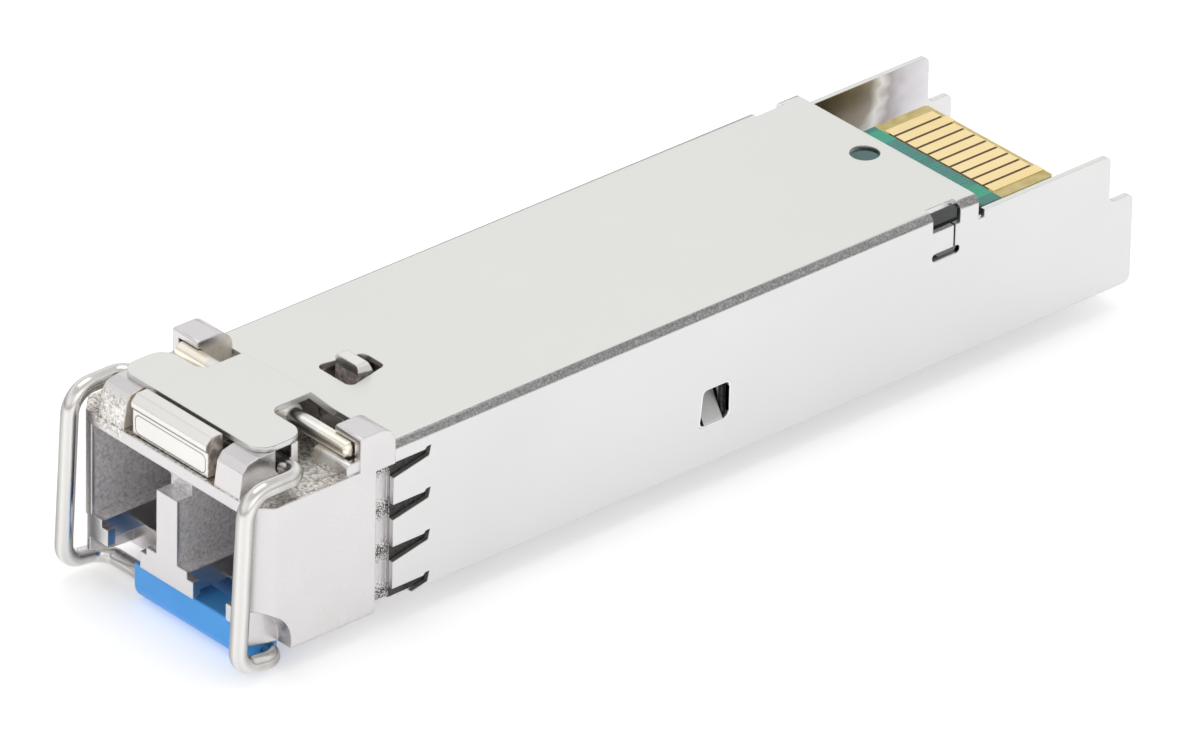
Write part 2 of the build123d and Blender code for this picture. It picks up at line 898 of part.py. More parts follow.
def circuit_board():
    """Board with a narrow tail, chamfered corners and side notches for the ribs."""
    half_tail = tail_width / 2
    step = board_half_width - half_tail
    outline = [
        (-board_half_width, board_front),
        (board_half_width, board_front),
        (board_half_width, tail_front - step),
        (half_tail, tail_front),
        (half_tail, board_rear - tail_chamfer),
        (half_tail - tail_chamfer, board_rear),
        (tail_chamfer - half_tail, board_rear),
        (-half_tail, board_rear - tail_chamfer),
        (-half_tail, tail_front),
        (-board_half_width, tail_front - step),
    ]
    face = make_face(Polyline(*outline, close=True))
    board = extrude(Pos(0, 0, board_under) * face, amount=board_thickness)
    half = rib_length / 2 + board_gap
    notch = slab(board_half_width - rib_depth, width, rib_y - half, rib_y + half, 0, height)
    board -= both_sides(notch)
    tip = board.edges().filter_by(Axis.X).sort_by(Axis.Y)[-2:]
    return chamfer(tip, board_thickness / 5)


def contact_row(z_low):
    """Ten gold pads side by side at the board's edge."""
    pads = []
    span = (contact_count - 1) * contact_pitch
    for index in range(contact_count):
        x = index * contact_pitch - span / 2
        rear = contact_rear + (contact_extra if index in (1, contact_count - 1) else 0)
        half = contact_width / 2
        pads.append(slab(x - half, x + half, contact_front, rear, z_low, z_low + contact_thickness))
    return Compound(children=pads)


def chip(x, y, length, depth, leads):
    """A square package with a bevelled top and a fringe of leads on two sides."""
    top = board_top + chip_height
    body = slab(x - length / 2, x + length / 2, y - depth / 2, y + depth / 2, board_top, top)
    body = chamfer(body.edges().group_by(Axis.Z)[-1], chip_height / 8)
    reach = length / 2 + chip_lead_reach
    pitch = depth / (leads + 1)
    for index in range(leads):
        lead_y = y - depth / 2 + (index + 1) * pitch
        low = lead_y - pitch / 4
        high = lead_y + pitch / 4
        body += slab(x - reach, x + reach, low, high, board_top, board_top + chip_lead_thickness)
    return body


def small_parts(places, length, depth, tall):
    """A group of like chip components lying along Y on the board."""
    block = slab(-depth / 2, depth / 2, -length / 2, length / 2, board_top, board_top + tall)
    return Compound(children=[Pos(x, y, 0) * block for x, y in places])


def column(x, first_y, count):
    """Places in a row along Y."""
    return [(x, first_y + index * passive_pitch) for index in range(count)]


def build_parts():
    parts = {
        "housing_casting": housing_casting(),
        "steel_cover": steel_cover(),
        "latch_rocker": latch_rocker(),
        "latch_spring": latch_spring(),
        "bail_wire": bail_wire(),
        "bail_handle": bail_handle(),
        "optics_clamp": optics_clamp(),
        "circuit_board": circuit_board(),
        "top_contacts": contact_row(board_top),
        "bottom_contacts": contact_row(board_under - contact_thickness),
        "laser_driver_chip": chip(chip_offset, front_chip_y, medium_chip, medium_chip, 4),
        "receiver_amplifier_chip": chip(-chip_offset, front_chip_y, small_chip, small_chip, 3),
        "controller_chip": chip(middle_chip_x, middle_chip_y, large_chip, large_chip, 5),
        "memory_chip": chip(-chip_offset, rear_chip_y, small_chip, medium_chip, 4),
        "capacitors": small_parts(
            column(-passive_offset, passive_front, 5) + column(passive_offset, passive_rear, 4),
            passive_length,
            passive_width,
            capacitor_height,
        ),
        "resistors": small_parts(
            column(passive_offset, passive_front, 3) + column(0, passive_rear, 3),
            passive_length,
            passive_width,
            resistor_height,
        ),
        "inductors": small_parts(
            [(inductor_offset, inductor_y), (-inductor_offset / 4, inductor_y + inductor_width / 2)],
            inductor_length,
            inductor_width,
            inductor_width,
        ),
    }
    for name, x in (("transmitter", port_centre), ("receiver", -port_centre)):
        parts[name + "_barrel"] = optic_barrel(x)
        parts[name + "_sleeve"] = split_sleeve(x)
        parts[name + "_can"] = optic_can(x)
        parts[name + "_flex"] = optic_flex(x)
    return parts


os.makedirs("parts", exist_ok=True)
for node, shape in build_parts().items():
    export_step(shape, os.path.join("parts", node + ".step"))
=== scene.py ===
import math

import bmesh
import bpy
from mathutils import Matrix, Vector


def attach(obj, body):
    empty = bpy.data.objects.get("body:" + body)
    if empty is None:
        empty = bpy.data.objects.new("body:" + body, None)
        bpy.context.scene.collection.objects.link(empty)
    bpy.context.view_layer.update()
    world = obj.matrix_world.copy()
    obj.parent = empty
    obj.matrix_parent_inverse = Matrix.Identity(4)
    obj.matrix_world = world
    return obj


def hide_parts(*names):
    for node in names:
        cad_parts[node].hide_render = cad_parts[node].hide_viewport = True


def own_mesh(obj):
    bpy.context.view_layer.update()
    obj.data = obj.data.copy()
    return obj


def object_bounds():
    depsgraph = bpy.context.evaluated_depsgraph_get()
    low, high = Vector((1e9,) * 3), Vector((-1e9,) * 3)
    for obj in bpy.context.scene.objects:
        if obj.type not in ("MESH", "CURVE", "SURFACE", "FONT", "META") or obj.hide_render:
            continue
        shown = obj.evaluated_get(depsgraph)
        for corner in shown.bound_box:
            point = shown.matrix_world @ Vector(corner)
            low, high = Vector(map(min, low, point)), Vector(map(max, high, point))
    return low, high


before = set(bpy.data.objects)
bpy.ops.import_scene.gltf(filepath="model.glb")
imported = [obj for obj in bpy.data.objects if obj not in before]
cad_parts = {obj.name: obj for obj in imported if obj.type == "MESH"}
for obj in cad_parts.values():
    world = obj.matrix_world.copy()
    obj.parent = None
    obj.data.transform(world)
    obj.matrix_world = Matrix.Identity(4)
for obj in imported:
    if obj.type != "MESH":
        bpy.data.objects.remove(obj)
cad_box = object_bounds()

# Lengths below are in millimetres and are scaled by MM where they are used.
MM = 0.001

# Photograph in pixels. The camera was solved on edges of the cover and the nose.
IMAGE_WIDTH = 1200.0
IMAGE_HEIGHT = 743.0
VIEW_AZIMUTH = 47.9
VIEW_ELEVATION = 30.0
VIEW_ROLL = 1.25
PIXELS_PER_MM = 20.72
AIM_PIXEL = (660.3, 314.6)
SENSOR_WIDTH = 36.0

# Camera, floor and lights, in metres and watts
AIM_POINT = Vector((0.0, 0.020, 0.00425))
VIEW_DISTANCE = 0.700
CLIP_START = 0.01
CLIP_END = 10.0
FLOOR_SIZE = 4.0
FLOOR_GAP = 0.00002
FLOOR_GLOW = 0.27
PART_MIDDLE = (0.0, 0.018, 0.004)
KEY_PLACE = (-0.05, 0.02, 0.40)
KEY_SIZE = (0.30, 0.30)
KEY_POWER = 0.30
FILL_PLACE = (0.25, -0.10, 0.12)
FILL_SIZE = (0.20, 0.20)
FILL_POWER = 0.05

# Sky tones from the floor's level to the zenith
SKY_TONES = (
    (0.0, (0.40, 0.36, 0.32)),
    (0.10, (0.62, 0.58, 0.54)),
    (0.30, (1.0, 1.0, 1.0)),
    (0.60, (1.0, 1.0, 1.0)),
    (0.75, (0.74, 0.74, 0.74)),
    (1.0, (0.62, 0.62, 0.62)),
)

# Bail wire, as in the solid
WIRE_RADIUS = 0.45
BAIL_Y = -8.3
BAIL_Z = 8.8
LEG_X = 6.4
LEG_TOP_Y = -11.65
LEG_BOTTOM_Y = -12.1
LEG_BOTTOM_Z = -0.3
CROSS_Y = -9.5
RUN_Z = -0.7
SHOULDER_BEND = 0.8
TOP_BEND = 1.3
BOTTOM_BEND = 1.0
CAM_HEIGHT = 0.02
FLAT_HALF = 3.2
WIRE_SIDES = 32
BEND_STEPS = 12

# Pull bar, as in the solid
HANDLE_LEFT = -2.8
HANDLE_RIGHT = 5.5
HANDLE_FRONT = -10.75
HANDLE_REAR = -8.85
HANDLE_BOTTOM = -1.35
HANDLE_SWEEP = 8.37
HANDLE_BELLY = 0.95
HANDLE_CORNER = 0.35
HANDLE_EDGE = 0.18
HANDLE_EDGE_STEPS = 4
HANDLE_SHARP = 40.0
SWEEP_STEPS = 12
HEEL_STEPS = 6

# Leaf spring under the latch's rear arm, as in the solid
LEAF = 0.12
LEAF_HALF = 0.8
LEAF_FRONT = -3.5
LEAF_KNEE = -1.87
LEAF_TIP = 1.4
LEAF_TIP_Z = 6.93
LEAF_CURL = 3 * LEAF
LEAF_BASE_Z = 6.2
LEAF_KNEE_BEND = 1.2
LEAF_CURL_BEND = 0.22

# Board, its solder mask and the tracks under it
BOARD_TOP = 6.25
CONTACT_REAR = 41.35
CONTACTS_HALF = 3.62
MASK_REAR = 38.12
MASK_EDGE = 0.01
SHADE_REAR = 37.0
TRACE_HEIGHT = 0.018
TRACK_FRONT = 32.9
TRACK_HALF = 0.045
TRACK_MIDDLES = (-2.14, -0.95, -0.72, 0.10, 0.33, 1.55, 1.78, 2.35)
COPPER_FRONT = SHADE_REAR - 0.1
COPPER_SPANS = ((-4.25, -2.95), (2.85, 4.0))

# Punched windows of the side walls, whose corners are (y, z)
WALL_X = 6.7
WALL_SHEET = 0.3
LANCE_CORNERS = ((16.6, 2.15), (18.5, 2.15), (18.5, 4.1), (16.84, 4.1))
LANCE_RADIUS = 0.28
LANCE_STEPS = 8
RIM_WIDTH = 0.10
RIM_CROWN = 0.45
RIM_RISE = 0.015
RIM_ROOT = 0.05

# Edges of the solids: merged points, joined flats, then a small round
WELD_DISTANCE = 1e-7
MIRROR_DISTANCE = 1e-6
FLAT_ANGLE = 1.0
EDGE_ANGLE = 35.0
EDGE_SEGMENTS = 2
CAST_EDGE = 0.03
SHEET_EDGE = 0.02
EDGE_SAMPLES = 4

# Most of a noise lies between these two values
NOISE_LOW = 0.3
NOISE_HIGH = 0.7

# Width over which a mask's border fades
CRISP = 0.02
SOFT = 0.05
WIDE = 0.3

# Facing share from which a face counts as level
LEVEL = (0.8, 0.95)

# Zones of the cover
BEND_Z = (7.9, 8.05)
FAR_WALL_X = (-6.2, -6.3)
# Painted shade inside the far wall: its span along y, the wobble of its border and its lean with
# height
INNER_SHADE_Y = (31.6, 41.6)
INNER_SHADE_REACH = 0.9
INNER_SHADE_LEAN = -0.35
LANCE_Y = (16.5, 18.6)
LANCE_Z = (2.1, 4.2)
LANCE_SIDE = (6.66, 6.6)
SNAP_SLOT_Y = (31.5, 33.5)
SNAP_SLOT_Z = (5.78, 6.32)
SNAP_SLOT_SIDE = (6.68, 6.6)
SHADE_Z = (2.1, 6.1)

# Zones of the casting
PORT_SIDE = (-1.0, 5.56)
PORT_Y = (-10.95, -1.0)
PORT_Z = (2.2, 7.26)
PORT_FADE = 0.10
HEAD_SIDE = (3.9, 5.9)
HEAD_Y = (-7.2, -2.7)
HEAD_Z = (7.2, 9.3)
HEAD_FADE = 0.25
POST_FLANK_SIDE = (2.9, 3.36)
POST_FLANK_Y = (-11.3, -9.0)
POST_FLANK_Z = (7.9, 10.2)
POST_FRONT_X = (-5.3, -3.36)
POST_FRONT_Y = (-11.6, -9.0)
POST_FRONT_Z = (7.4, 9.3)
POST_FRONT_SHARE = 0.7
LEDGE_Z = (7.3, 8.3)
# Collar beside the cover's finger slots, where shadow is painted as dark grains
COLLAR_SIDE = (6.0, 6.45)
COLLAR_Y = (-4.1, -1.0)
COLLAR_TOP = (7.9, 7.7)
COLLAR_FADE = 0.03
FINGER_PITCH = 2.3
FINGER_ROW_Z = 1.5
ROW_SHARE = (0.34, 0.66)
ROW_FADE = 0.20
# Casting faces behind the cover's sheet and slots, painted near black as shade
UNDER_SHEET_SIDE = (6.1, 6.2)
UNDER_SHEET_Y = (-2.85, -2.75)
UNDER_SHEET_Z = (8.0, 7.9)
RAIL_SIDE = (5.1, 5.2)
RAIL_Y = (31.2, 34.2)
RAIL_Z = (4.6, 8.2)
# Tray floor at the rear, painted dark as shade
TRAY_Y = (31.0, 40.4)
TRAY_Z = (0.7, 1.3)
TRAY_FADE = 0.9

# Zones of the latch and the panel line on its nose pad
# Brown tint with painted shade on the rear arm and on the pad's ends
REAR_ARM_Z = (8.62, 8.45)
REAR_ARM_Y = (-2.0, -1.5)
PAD_END_SIDE = (2.70, 2.74)
PAD_END_Y = (-9.8, -9.9)
# Pins, tinted warm as a painted reflection
PIN_SIDE = (3.9, 4.1)
PIN_Z = (9.6, 9.5)
PAD_FRONT_Y = (-10.8, -10.85)
BEAD_SHADE_Z = (9.20, 9.38)
PANEL_TOP_Z = (9.2, 9.15)
PANEL_HALF_X = 2.55
PANEL_HALF_Z = 0.50
PANEL_MIDDLE_Z = 8.52
PANEL_CORNER = 0.30
PANEL_LINE = 0.03
PANEL_FADE = 0.01

# Zones of the board
BOARD_EDGE_TOP = (BOARD_TOP - 0.08, BOARD_TOP - 0.12)
BOARD_EDGE_BOTTOM = (5.33, 5.37)
SHADE_Y = (SHADE_REAR, SHADE_REAR - 0.4)
# Side margins at the board's front, painted near black as shade
BOARD_RIM_SIDE = (3.5, 3.7)
BOARD_RIM_Y = (SHADE_REAR, SHADE_REAR - 0.3)


def material(name):
    """A new node material with its main shader."""
    mat = bpy.data.materials.new(name)
    mat.use_nodes = True
    nodes = mat.node_tree.nodes
    nodes.clear()
    shader = nodes.new("ShaderNodeBsdfPrincipled")
    output = nodes.new("ShaderNodeOutputMaterial")
    mat.node_tree.links.new(shader.outputs["BSDF"], output.inputs["Surface"])
    return mat, shader


def link(mat, start, end):
    mat.node_tree.links.new(start, end)


def coordinates(mat, scale=(1.0, 1.0, 1.0), kind="Object"):
    """Object coordinates or the object's own normal, stretched along each axis."""
    nodes = mat.node_tree.nodes
    coord = nodes.new("ShaderNodeTexCoord")
    mapping = nodes.new("ShaderNodeMapping")
    mapping.inputs["Scale"].default_value = scale
    link(mat, coord.outputs[kind], mapping.inputs["Vector"])
    return mapping.outputs["Vector"]


def axes_of(mat, vector):
    """The three components of a vector."""
    node = mat.node_tree.nodes.new("ShaderNodeSeparateXYZ")
    link(mat, vector, node.inputs["Vector"])
    return node.outputs["X"], node.outputs["Y"], node.outputs["Z"]


def noise(mat, vector, scale, detail=4.0, roughness=0.55):
    """Noise with the given number of waves per metre."""
    node = mat.node_tree.nodes.new("ShaderNodeTexNoise")
    node.inputs["Scale"].default_value = scale
    node.inputs["Detail"].default_value = detail
    node.inputs["Roughness"].default_value = roughness
    link(mat, vector, node.inputs["Vector"])
    return node.outputs["Fac"]


def math_node(mat, operation, first, second=None):
    """A math node on sockets or plain numbers."""
    node = mat.node_tree.nodes.new("ShaderNodeMath")
    node.operation = operation
    for place, value in zip(node.inputs, (first, second)):
        if value is None:
            continue
        if isinstance(value, (int, float)):
            place.default_value = value
        else:
            link(mat, value, place)
    return node.outputs["Value"]


def spread(mat, value, low, high, out_low=0.0, out_high=1.0):
    """Maps low..high onto out_low..out_high and holds beyond the ends."""
    node = mat.node_tree.nodes.new("ShaderNodeMapRange")
    node.inputs["From Min"].default_value = low
    node.inputs["From Max"].default_value = high
    node.inputs["To Min"].default_value = out_low
    node.inputs["To Max"].default_value = out_high
    link(mat, value, node.inputs["Value"])
    return node.outputs["Result"]


def vary(mat, grain, low, high):
    """A value that a noise moves between two ends."""
    return spread(mat, grain, NOISE_LOW, NOISE_HIGH, low, high)


def step(mat, value, limits):
    """A mask that goes from zero at the first limit to one at the second, in mm."""
    start, full = limits
    return spread(mat, value, start * MM, full * MM)


def between(mat, value, limits, soft):
    """A mask that is one between two limits and fades over their borders."""
    low, high = limits
    rise = spread(mat, value, low - soft, low + soft)
    fall = spread(mat, value, high - soft, high + soft, 1.0, 0.0)
    return math_node(mat, "MULTIPLY", rise, fall)


def belt(mat, value, limits, soft):
    """The same mask for a coordinate, with its limits and softness in mm."""
    low, high = limits
    return between(mat, value, (low * MM, high * MM), soft * MM)


def both(mat, *masks):
    """The product of several masks."""
    result = masks[0]
    for mask in masks[1:]:
        result = math_node(mat, "MULTIPLY", result, mask)
    return result


def either(mat, *masks):
    """The largest of several masks."""
    result = masks[0]
    for mask in masks[1:]:
        result = math_node(mat, "MAXIMUM", result, mask)
    return result


def fill_ramp(colours, stops):
    """Puts (position, colour) stops on a colour ramp."""
    elements = colours.elements
    elements[0].position, elements[0].color = stops[0][0], (*stops[0][1], 1.0)
    elements[1].position, elements[1].color = stops[-1][0], (*stops[-1][1], 1.0)
    for position, colour in stops[1:-1]:
        element = elements.new(position)
        element.color = (*colour, 1.0)


def ramp(mat, value, *stops):
    """A colour from a value through (position, colour) stops."""
    node = mat.node_tree.nodes.new("ShaderNodeValToRGB")
    fill_ramp(node.color_ramp, stops)
    link(mat, value, node.inputs["Fac"])
    return node.outputs["Color"]


def cloud(mat, grain, dark, light):
    """A colour that a noise moves between two tones."""
    return ramp(mat, grain, (NOISE_LOW, dark), (NOISE_HIGH, light))


def blend_colours(mat, mask, below, above):
    """The colour below where the mask is zero, and the one above where it is one."""
    node = mat.node_tree.nodes.new("ShaderNodeMix")
    node.data_type = "RGBA"
    link(mat, mask, node.inputs["Factor"])
    for place, colour in ((node.inputs["A"], below), (node.inputs["B"], above)):
        link(mat, colour, place)
    return node.outputs["Result"]


def bump(mat, shader, height, distance, strength=1.0, edge=0.0):
    """Fine relief of a depth in mm, over edges that are softened by a radius in mm."""
    node = mat.node_tree.nodes.new("ShaderNodeBump")
    if edge:
        rounded = mat.node_tree.nodes.new("ShaderNodeBevel")
        rounded.samples = EDGE_SAMPLES
        rounded.inputs["Radius"].default_value = edge * MM
        link(mat, rounded.outputs["Normal"], node.inputs["Normal"])
    node.inputs["Distance"].default_value = distance * MM
    if isinstance(strength, float):
        node.inputs["Strength"].default_value = strength
    else:
        link(mat, strength, node.inputs["Strength"])
    link(mat, height, node.inputs["Height"])
    link(mat, node.outputs["Normal"], shader.inputs["Normal"])


def warm(value, amount=0.0):
    """A grey of the given value, slightly warmed."""
    return (value, value * (1.0 - 0.02 * amount), value * (1.0 - 0.05 * amount))


def metal(name, dark, light, rough_low, rough_high, grain=(1.0, 1.0, 1.0), scale=900.0):
    """Metal whose tone, roughness and fine relief vary along the given grain."""
    mat, shader = material(name)
    fine = noise(mat, coordinates(mat, grain), scale)
    broad = noise(mat, coordinates(mat), scale / 9.0, detail=3.0)
    link(mat, cloud(mat, broad, dark, light), shader.inputs["Base Color"])
    shader.inputs["Metallic"].default_value = 1.0
    link(mat, vary(mat, fine, rough_low, rough_high), shader.inputs["Roughness"])
    bump(mat, shader, fine, 0.004)
    return mat


def plastic(name, dark, light, rough_low, rough_high, scale=1500.0):
    """Moulded or coated surface with a faint uneven tone."""
    mat, shader = material(name)
    vector = coordinates(mat)
    fine = noise(mat, vector, scale)
    broad = noise(mat, vector, scale / 12.0, detail=2.0)
    link(mat, cloud(mat, broad, dark, light), shader.inputs["Base Color"])
    shader.inputs["Specular IOR Level"].default_value = 0.45
    link(mat, vary(mat, fine, rough_low, rough_high), shader.inputs["Roughness"])
    bump(mat, shader, fine, 0.006)
    return mat


def cover_finish():
    """Satin sheet: warm on the plate, neutral on the walls, with painted light: the upward plate
    is painted lighter than the walls, a grainy dark reflection is painted where it is bent, and
    shade is painted inside the far wall and in the windows.
    """
    mat, shader = material("cover_steel")
    place = coordinates(mat)
    x, y, z = axes_of(mat, place)
    side = math_node(mat, "ABSOLUTE", x)
    facing_x, _, facing_z = axes_of(mat, coordinates(mat, kind="Normal"))
    broad = noise(mat, place, 70.0, detail=3.0)
    fine = noise(mat, place, 9000.0, detail=3.0)
    # painted light: faces turned up get a lighter, warmer tone than the walls of the same sheet
    wall = cloud(mat, broad, warm(0.69), warm(0.72))
    plate_lit_tone = cloud(mat, broad, (0.78, 0.785, 0.755), (0.795, 0.80, 0.77))
    tone = blend_colours(mat, spread(mat, facing_z, 0.6, 0.95), wall, plate_lit_tone)

    # painted reflection: a dark grainy band is painted on the bend, standing in for the darker
    # surroundings that the rounded bend mirrors
    slant = math_node(mat, "ABSOLUTE", math_node(mat, "MULTIPLY", facing_x, facing_z))
    bend = both(mat, spread(mat, slant, 0.12, 0.30), step(mat, z, BEND_Z))
    bend_dark_reflection = ramp(mat, fine, (0.32, warm(0.20)), (0.5, warm(0.29)), (0.68, warm(0.44)))
    tone = blend_colours(mat, bend, tone, bend_dark_reflection)

    # painted shade and highlight: the far wall's inner face is painted dark brown deep under the
    # plate and lighter towards the open rear, with a painted light streak
    inner = both(mat, spread(mat, facing_x, 0.7, 0.9), step(mat, x, FAR_WALL_X))
    border_wobble = noise(mat, coordinates(mat, (1.0, 0.6, 1.0)), 420.0, detail=3.0)
    reach = INNER_SHADE_REACH * MM
    along = math_node(mat, "ADD", y, vary(mat, border_wobble, -reach, reach))
    along = math_node(mat, "ADD", along, math_node(mat, "MULTIPLY", z, INNER_SHADE_LEAN))
    inner_shade_streak = ramp(
        mat,
        step(mat, along, INNER_SHADE_Y),
        (0.0, (0.055, 0.045, 0.035)),
        (0.22, (0.15, 0.12, 0.085)),
        (0.36, (0.27, 0.24, 0.17)),
        (0.50, (0.36, 0.33, 0.29)),
        (0.58, (0.76, 0.75, 0.72)),
        (0.66, (0.40, 0.36, 0.37)),
        (0.78, (0.60, 0.58, 0.61)),
        (1.0, (0.74, 0.73, 0.74)),
    )
    tone = blend_colours(mat, inner, tone, inner_shade_streak)

    lance = both(
        mat,
        belt(mat, y, LANCE_Y, CRISP),
        belt(mat, z, LANCE_Z, CRISP),
        step(mat, side, LANCE_SIDE),
    )
    snap_slot = both(
        mat,
        belt(mat, y, SNAP_SLOT_Y, CRISP),
        belt(mat, z, SNAP_SLOT_Z, CRISP),
        step(mat, side, SNAP_SLOT_SIDE),
    )
    shade = ramp(
        mat,
        step(mat, z, SHADE_Z),
        (0.0, warm(0.52)),
        (0.25, warm(0.36)),
        (0.5, warm(0.26)),
        (1.0, warm(0.06)),
    )
    tone = blend_colours(mat, either(mat, lance, snap_slot), tone, shade)
    link(mat, tone, shader.inputs["Base Color"])
    shader.inputs["Metallic"].default_value = 1.0
    link(mat, vary(mat, fine, 0.30, 0.38), shader.inputs["Roughness"])
    bump(mat, shader, fine, 0.012, spread(mat, bend, 0.0, 1.0, 0.04, 0.7), edge=0.07)
    return mat


def cast_finish():
    """Plated casting: smooth outside, coarse and sparkling in recesses, darker in the ports, with
    painted shade beside the cover's finger slots, on the rear tray floor and behind the sheet's
    slots.
    """
    mat, shader = material("cast_nickel")
    place = coordinates(mat)
    x, y, z = axes_of(mat, place)
    side = math_node(mat, "ABSOLUTE", x)
    facing_z = axes_of(mat, coordinates(mat, kind="Normal"))[2]
    level = spread(mat, facing_z, *LEVEL)
    fine = noise(mat, place, 5200.0, detail=5.0, roughness=0.7)
    broad = noise(mat, place, 300.0, detail=2.0)
    stain = noise(mat, place, 900.0, detail=3.0)
    shell = cloud(mat, broad, (0.68, 0.662, 0.666), (0.71, 0.692, 0.696))

    port = both(
        mat,
        belt(mat, side, PORT_SIDE, CRISP),
        belt(mat, z, PORT_Z, CRISP),
        belt(mat, y, PORT_Y, PORT_FADE),
    )
    cavity = ramp(
        mat,
        fine,
        (0.36, (0.52, 0.505, 0.51)),
        (0.5, (0.74, 0.72, 0.725)),
        (0.68, (0.95, 0.93, 0.94)),
    )
    tone = blend_colours(mat, port, shell, cavity)

    under_head = both(
        mat,
        belt(mat, z, HEAD_Z, HEAD_FADE),
        belt(mat, side, HEAD_SIDE, WIDE),
        belt(mat, y, HEAD_Y, WIDE),
    )
    post_flank = both(
        mat,
        belt(mat, side, POST_FLANK_SIDE, CRISP),
        belt(mat, y, POST_FLANK_Y, SOFT),
        belt(mat, z, POST_FLANK_Z, SOFT),
    )
    recess = either(mat, under_head, post_flank)
    bronze = ramp(
        mat,
        stain,
        (0.42, (0.86, 0.84, 0.80)),
        (0.56, (0.74, 0.66, 0.54)),
        (0.66, (0.90, 0.87, 0.80)),
    )
    tone = blend_colours(mat, recess, tone, bronze)

    ledge = both(mat, level, belt(mat, z, LEDGE_Z, SOFT))
    post_front = both(
        mat,
        belt(mat, x, POST_FRONT_X, 0.1),
        belt(mat, y, POST_FRONT_Y, SOFT),
        belt(mat, z, POST_FRONT_Z, 0.15),
    )
    gritty = either(mat, ledge, math_node(mat, "MULTIPLY", post_front, POST_FRONT_SHARE))
    grit = ramp(
        mat,
        fine,
        (0.42, (0.36, 0.33, 0.30)),
        (0.50, (0.76, 0.73, 0.68)),
        (0.60, (0.96, 0.94, 0.91)),
    )
    tone = blend_colours(mat, gritty, tone, grit)

    # painted shadow: dark grains are painted on the collar beside the cover's finger slots,
    # standing in for the fingers' shadow
    collar = both(
        mat,
        belt(mat, side, COLLAR_SIDE, COLLAR_FADE),
        belt(mat, y, COLLAR_Y, SOFT),
        step(mat, z, COLLAR_TOP),
    )
    height = math_node(mat, "SUBTRACT", z, FINGER_ROW_Z * MM)
    row = math_node(mat, "FRACT", math_node(mat, "DIVIDE", height, FINGER_PITCH * MM))
    beside_slot = between(mat, row, ROW_SHARE, ROW_FADE)
    speck = noise(mat, place, 13000.0, detail=3.0)
    slot_shadow_grains = math_node(mat, "ADD", speck, spread(mat, beside_slot, 0.0, 1.0, -0.14, 0.16))
    slot_shadow_speckle = ramp(mat, fine, (0.4, (0.03, 0.026, 0.024)), (0.6, (0.16, 0.15, 0.14)))
    tone = blend_colours(mat, both(mat, collar, spread(mat, slot_shadow_grains, 0.52, 0.60)), tone, slot_shadow_speckle)

    # painted shade: the tray floor towards the rear is painted dark
    tray_shade = both(mat, level, belt(mat, z, TRAY_Z, SOFT), belt(mat, y, TRAY_Y, TRAY_FADE))
    tone = blend_colours(mat, tray_shade, tone, cloud(mat, broad, warm(0.13), warm(0.17)))

    # painted shade: casting faces seen through the cover's slots are painted near black, so the
    # slots read as dark openings
    under_sheet = both(
        mat,
        step(mat, side, UNDER_SHEET_SIDE),
        step(mat, y, UNDER_SHEET_Y),
        step(mat, z, UNDER_SHEET_Z),
    )
    rail = both(
        mat,
        step(mat, side, RAIL_SIDE),
        belt(mat, y, RAIL_Y, SOFT),
        belt(mat, z, RAIL_Z, SOFT),
    )
    shaded_behind_sheet = either(mat, under_sheet, rail)
    near_black_shade = ramp(mat, fine, (0.4, (0.015, 0.014, 0.014)), (0.6, (0.05, 0.047, 0.045)))
    tone = blend_colours(mat, shaded_behind_sheet, tone, near_black_shade)
    link(mat, tone, shader.inputs["Base Color"])
    shaded = either(mat, port, recess, shaded_behind_sheet)
    link(mat, spread(mat, shaded, 0.0, 1.0, 1.0, 0.4), shader.inputs["Metallic"])
    coarse = either(mat, gritty, collar, shaded)
    link(mat, vary(mat, broad, 0.24, 0.30), shader.inputs["Roughness"])
    bump(mat, shader, fine, 0.04, spread(mat, coarse, 0.0, 1.0, 0.0, 0.7), edge=0.10)
    return mat


def panel_line(mat, side, z):
    """A fine rounded rectangle on the latch's nose pad, where shade is painted along the panel's
    groove.
    """
    reach_x = math_node(mat, "SUBTRACT", side, (PANEL_HALF_X - PANEL_CORNER) * MM)
    height = math_node(mat, "SUBTRACT", z, PANEL_MIDDLE_Z * MM)
    height = math_node(mat, "ABSOLUTE", height)
    reach_z = math_node(mat, "SUBTRACT", height, (PANEL_HALF_Z - PANEL_CORNER) * MM)
    squares = []
    for reach in (reach_x, reach_z):
        beyond = math_node(mat, "MAXIMUM", reach, 0.0)
        squares.append(math_node(mat, "MULTIPLY", beyond, beyond))
    distance = math_node(mat, "SQRT", math_node(mat, "ADD", *squares))
    return belt(mat, distance, (PANEL_CORNER - PANEL_LINE, PANEL_CORNER + PANEL_LINE), PANEL_FADE)


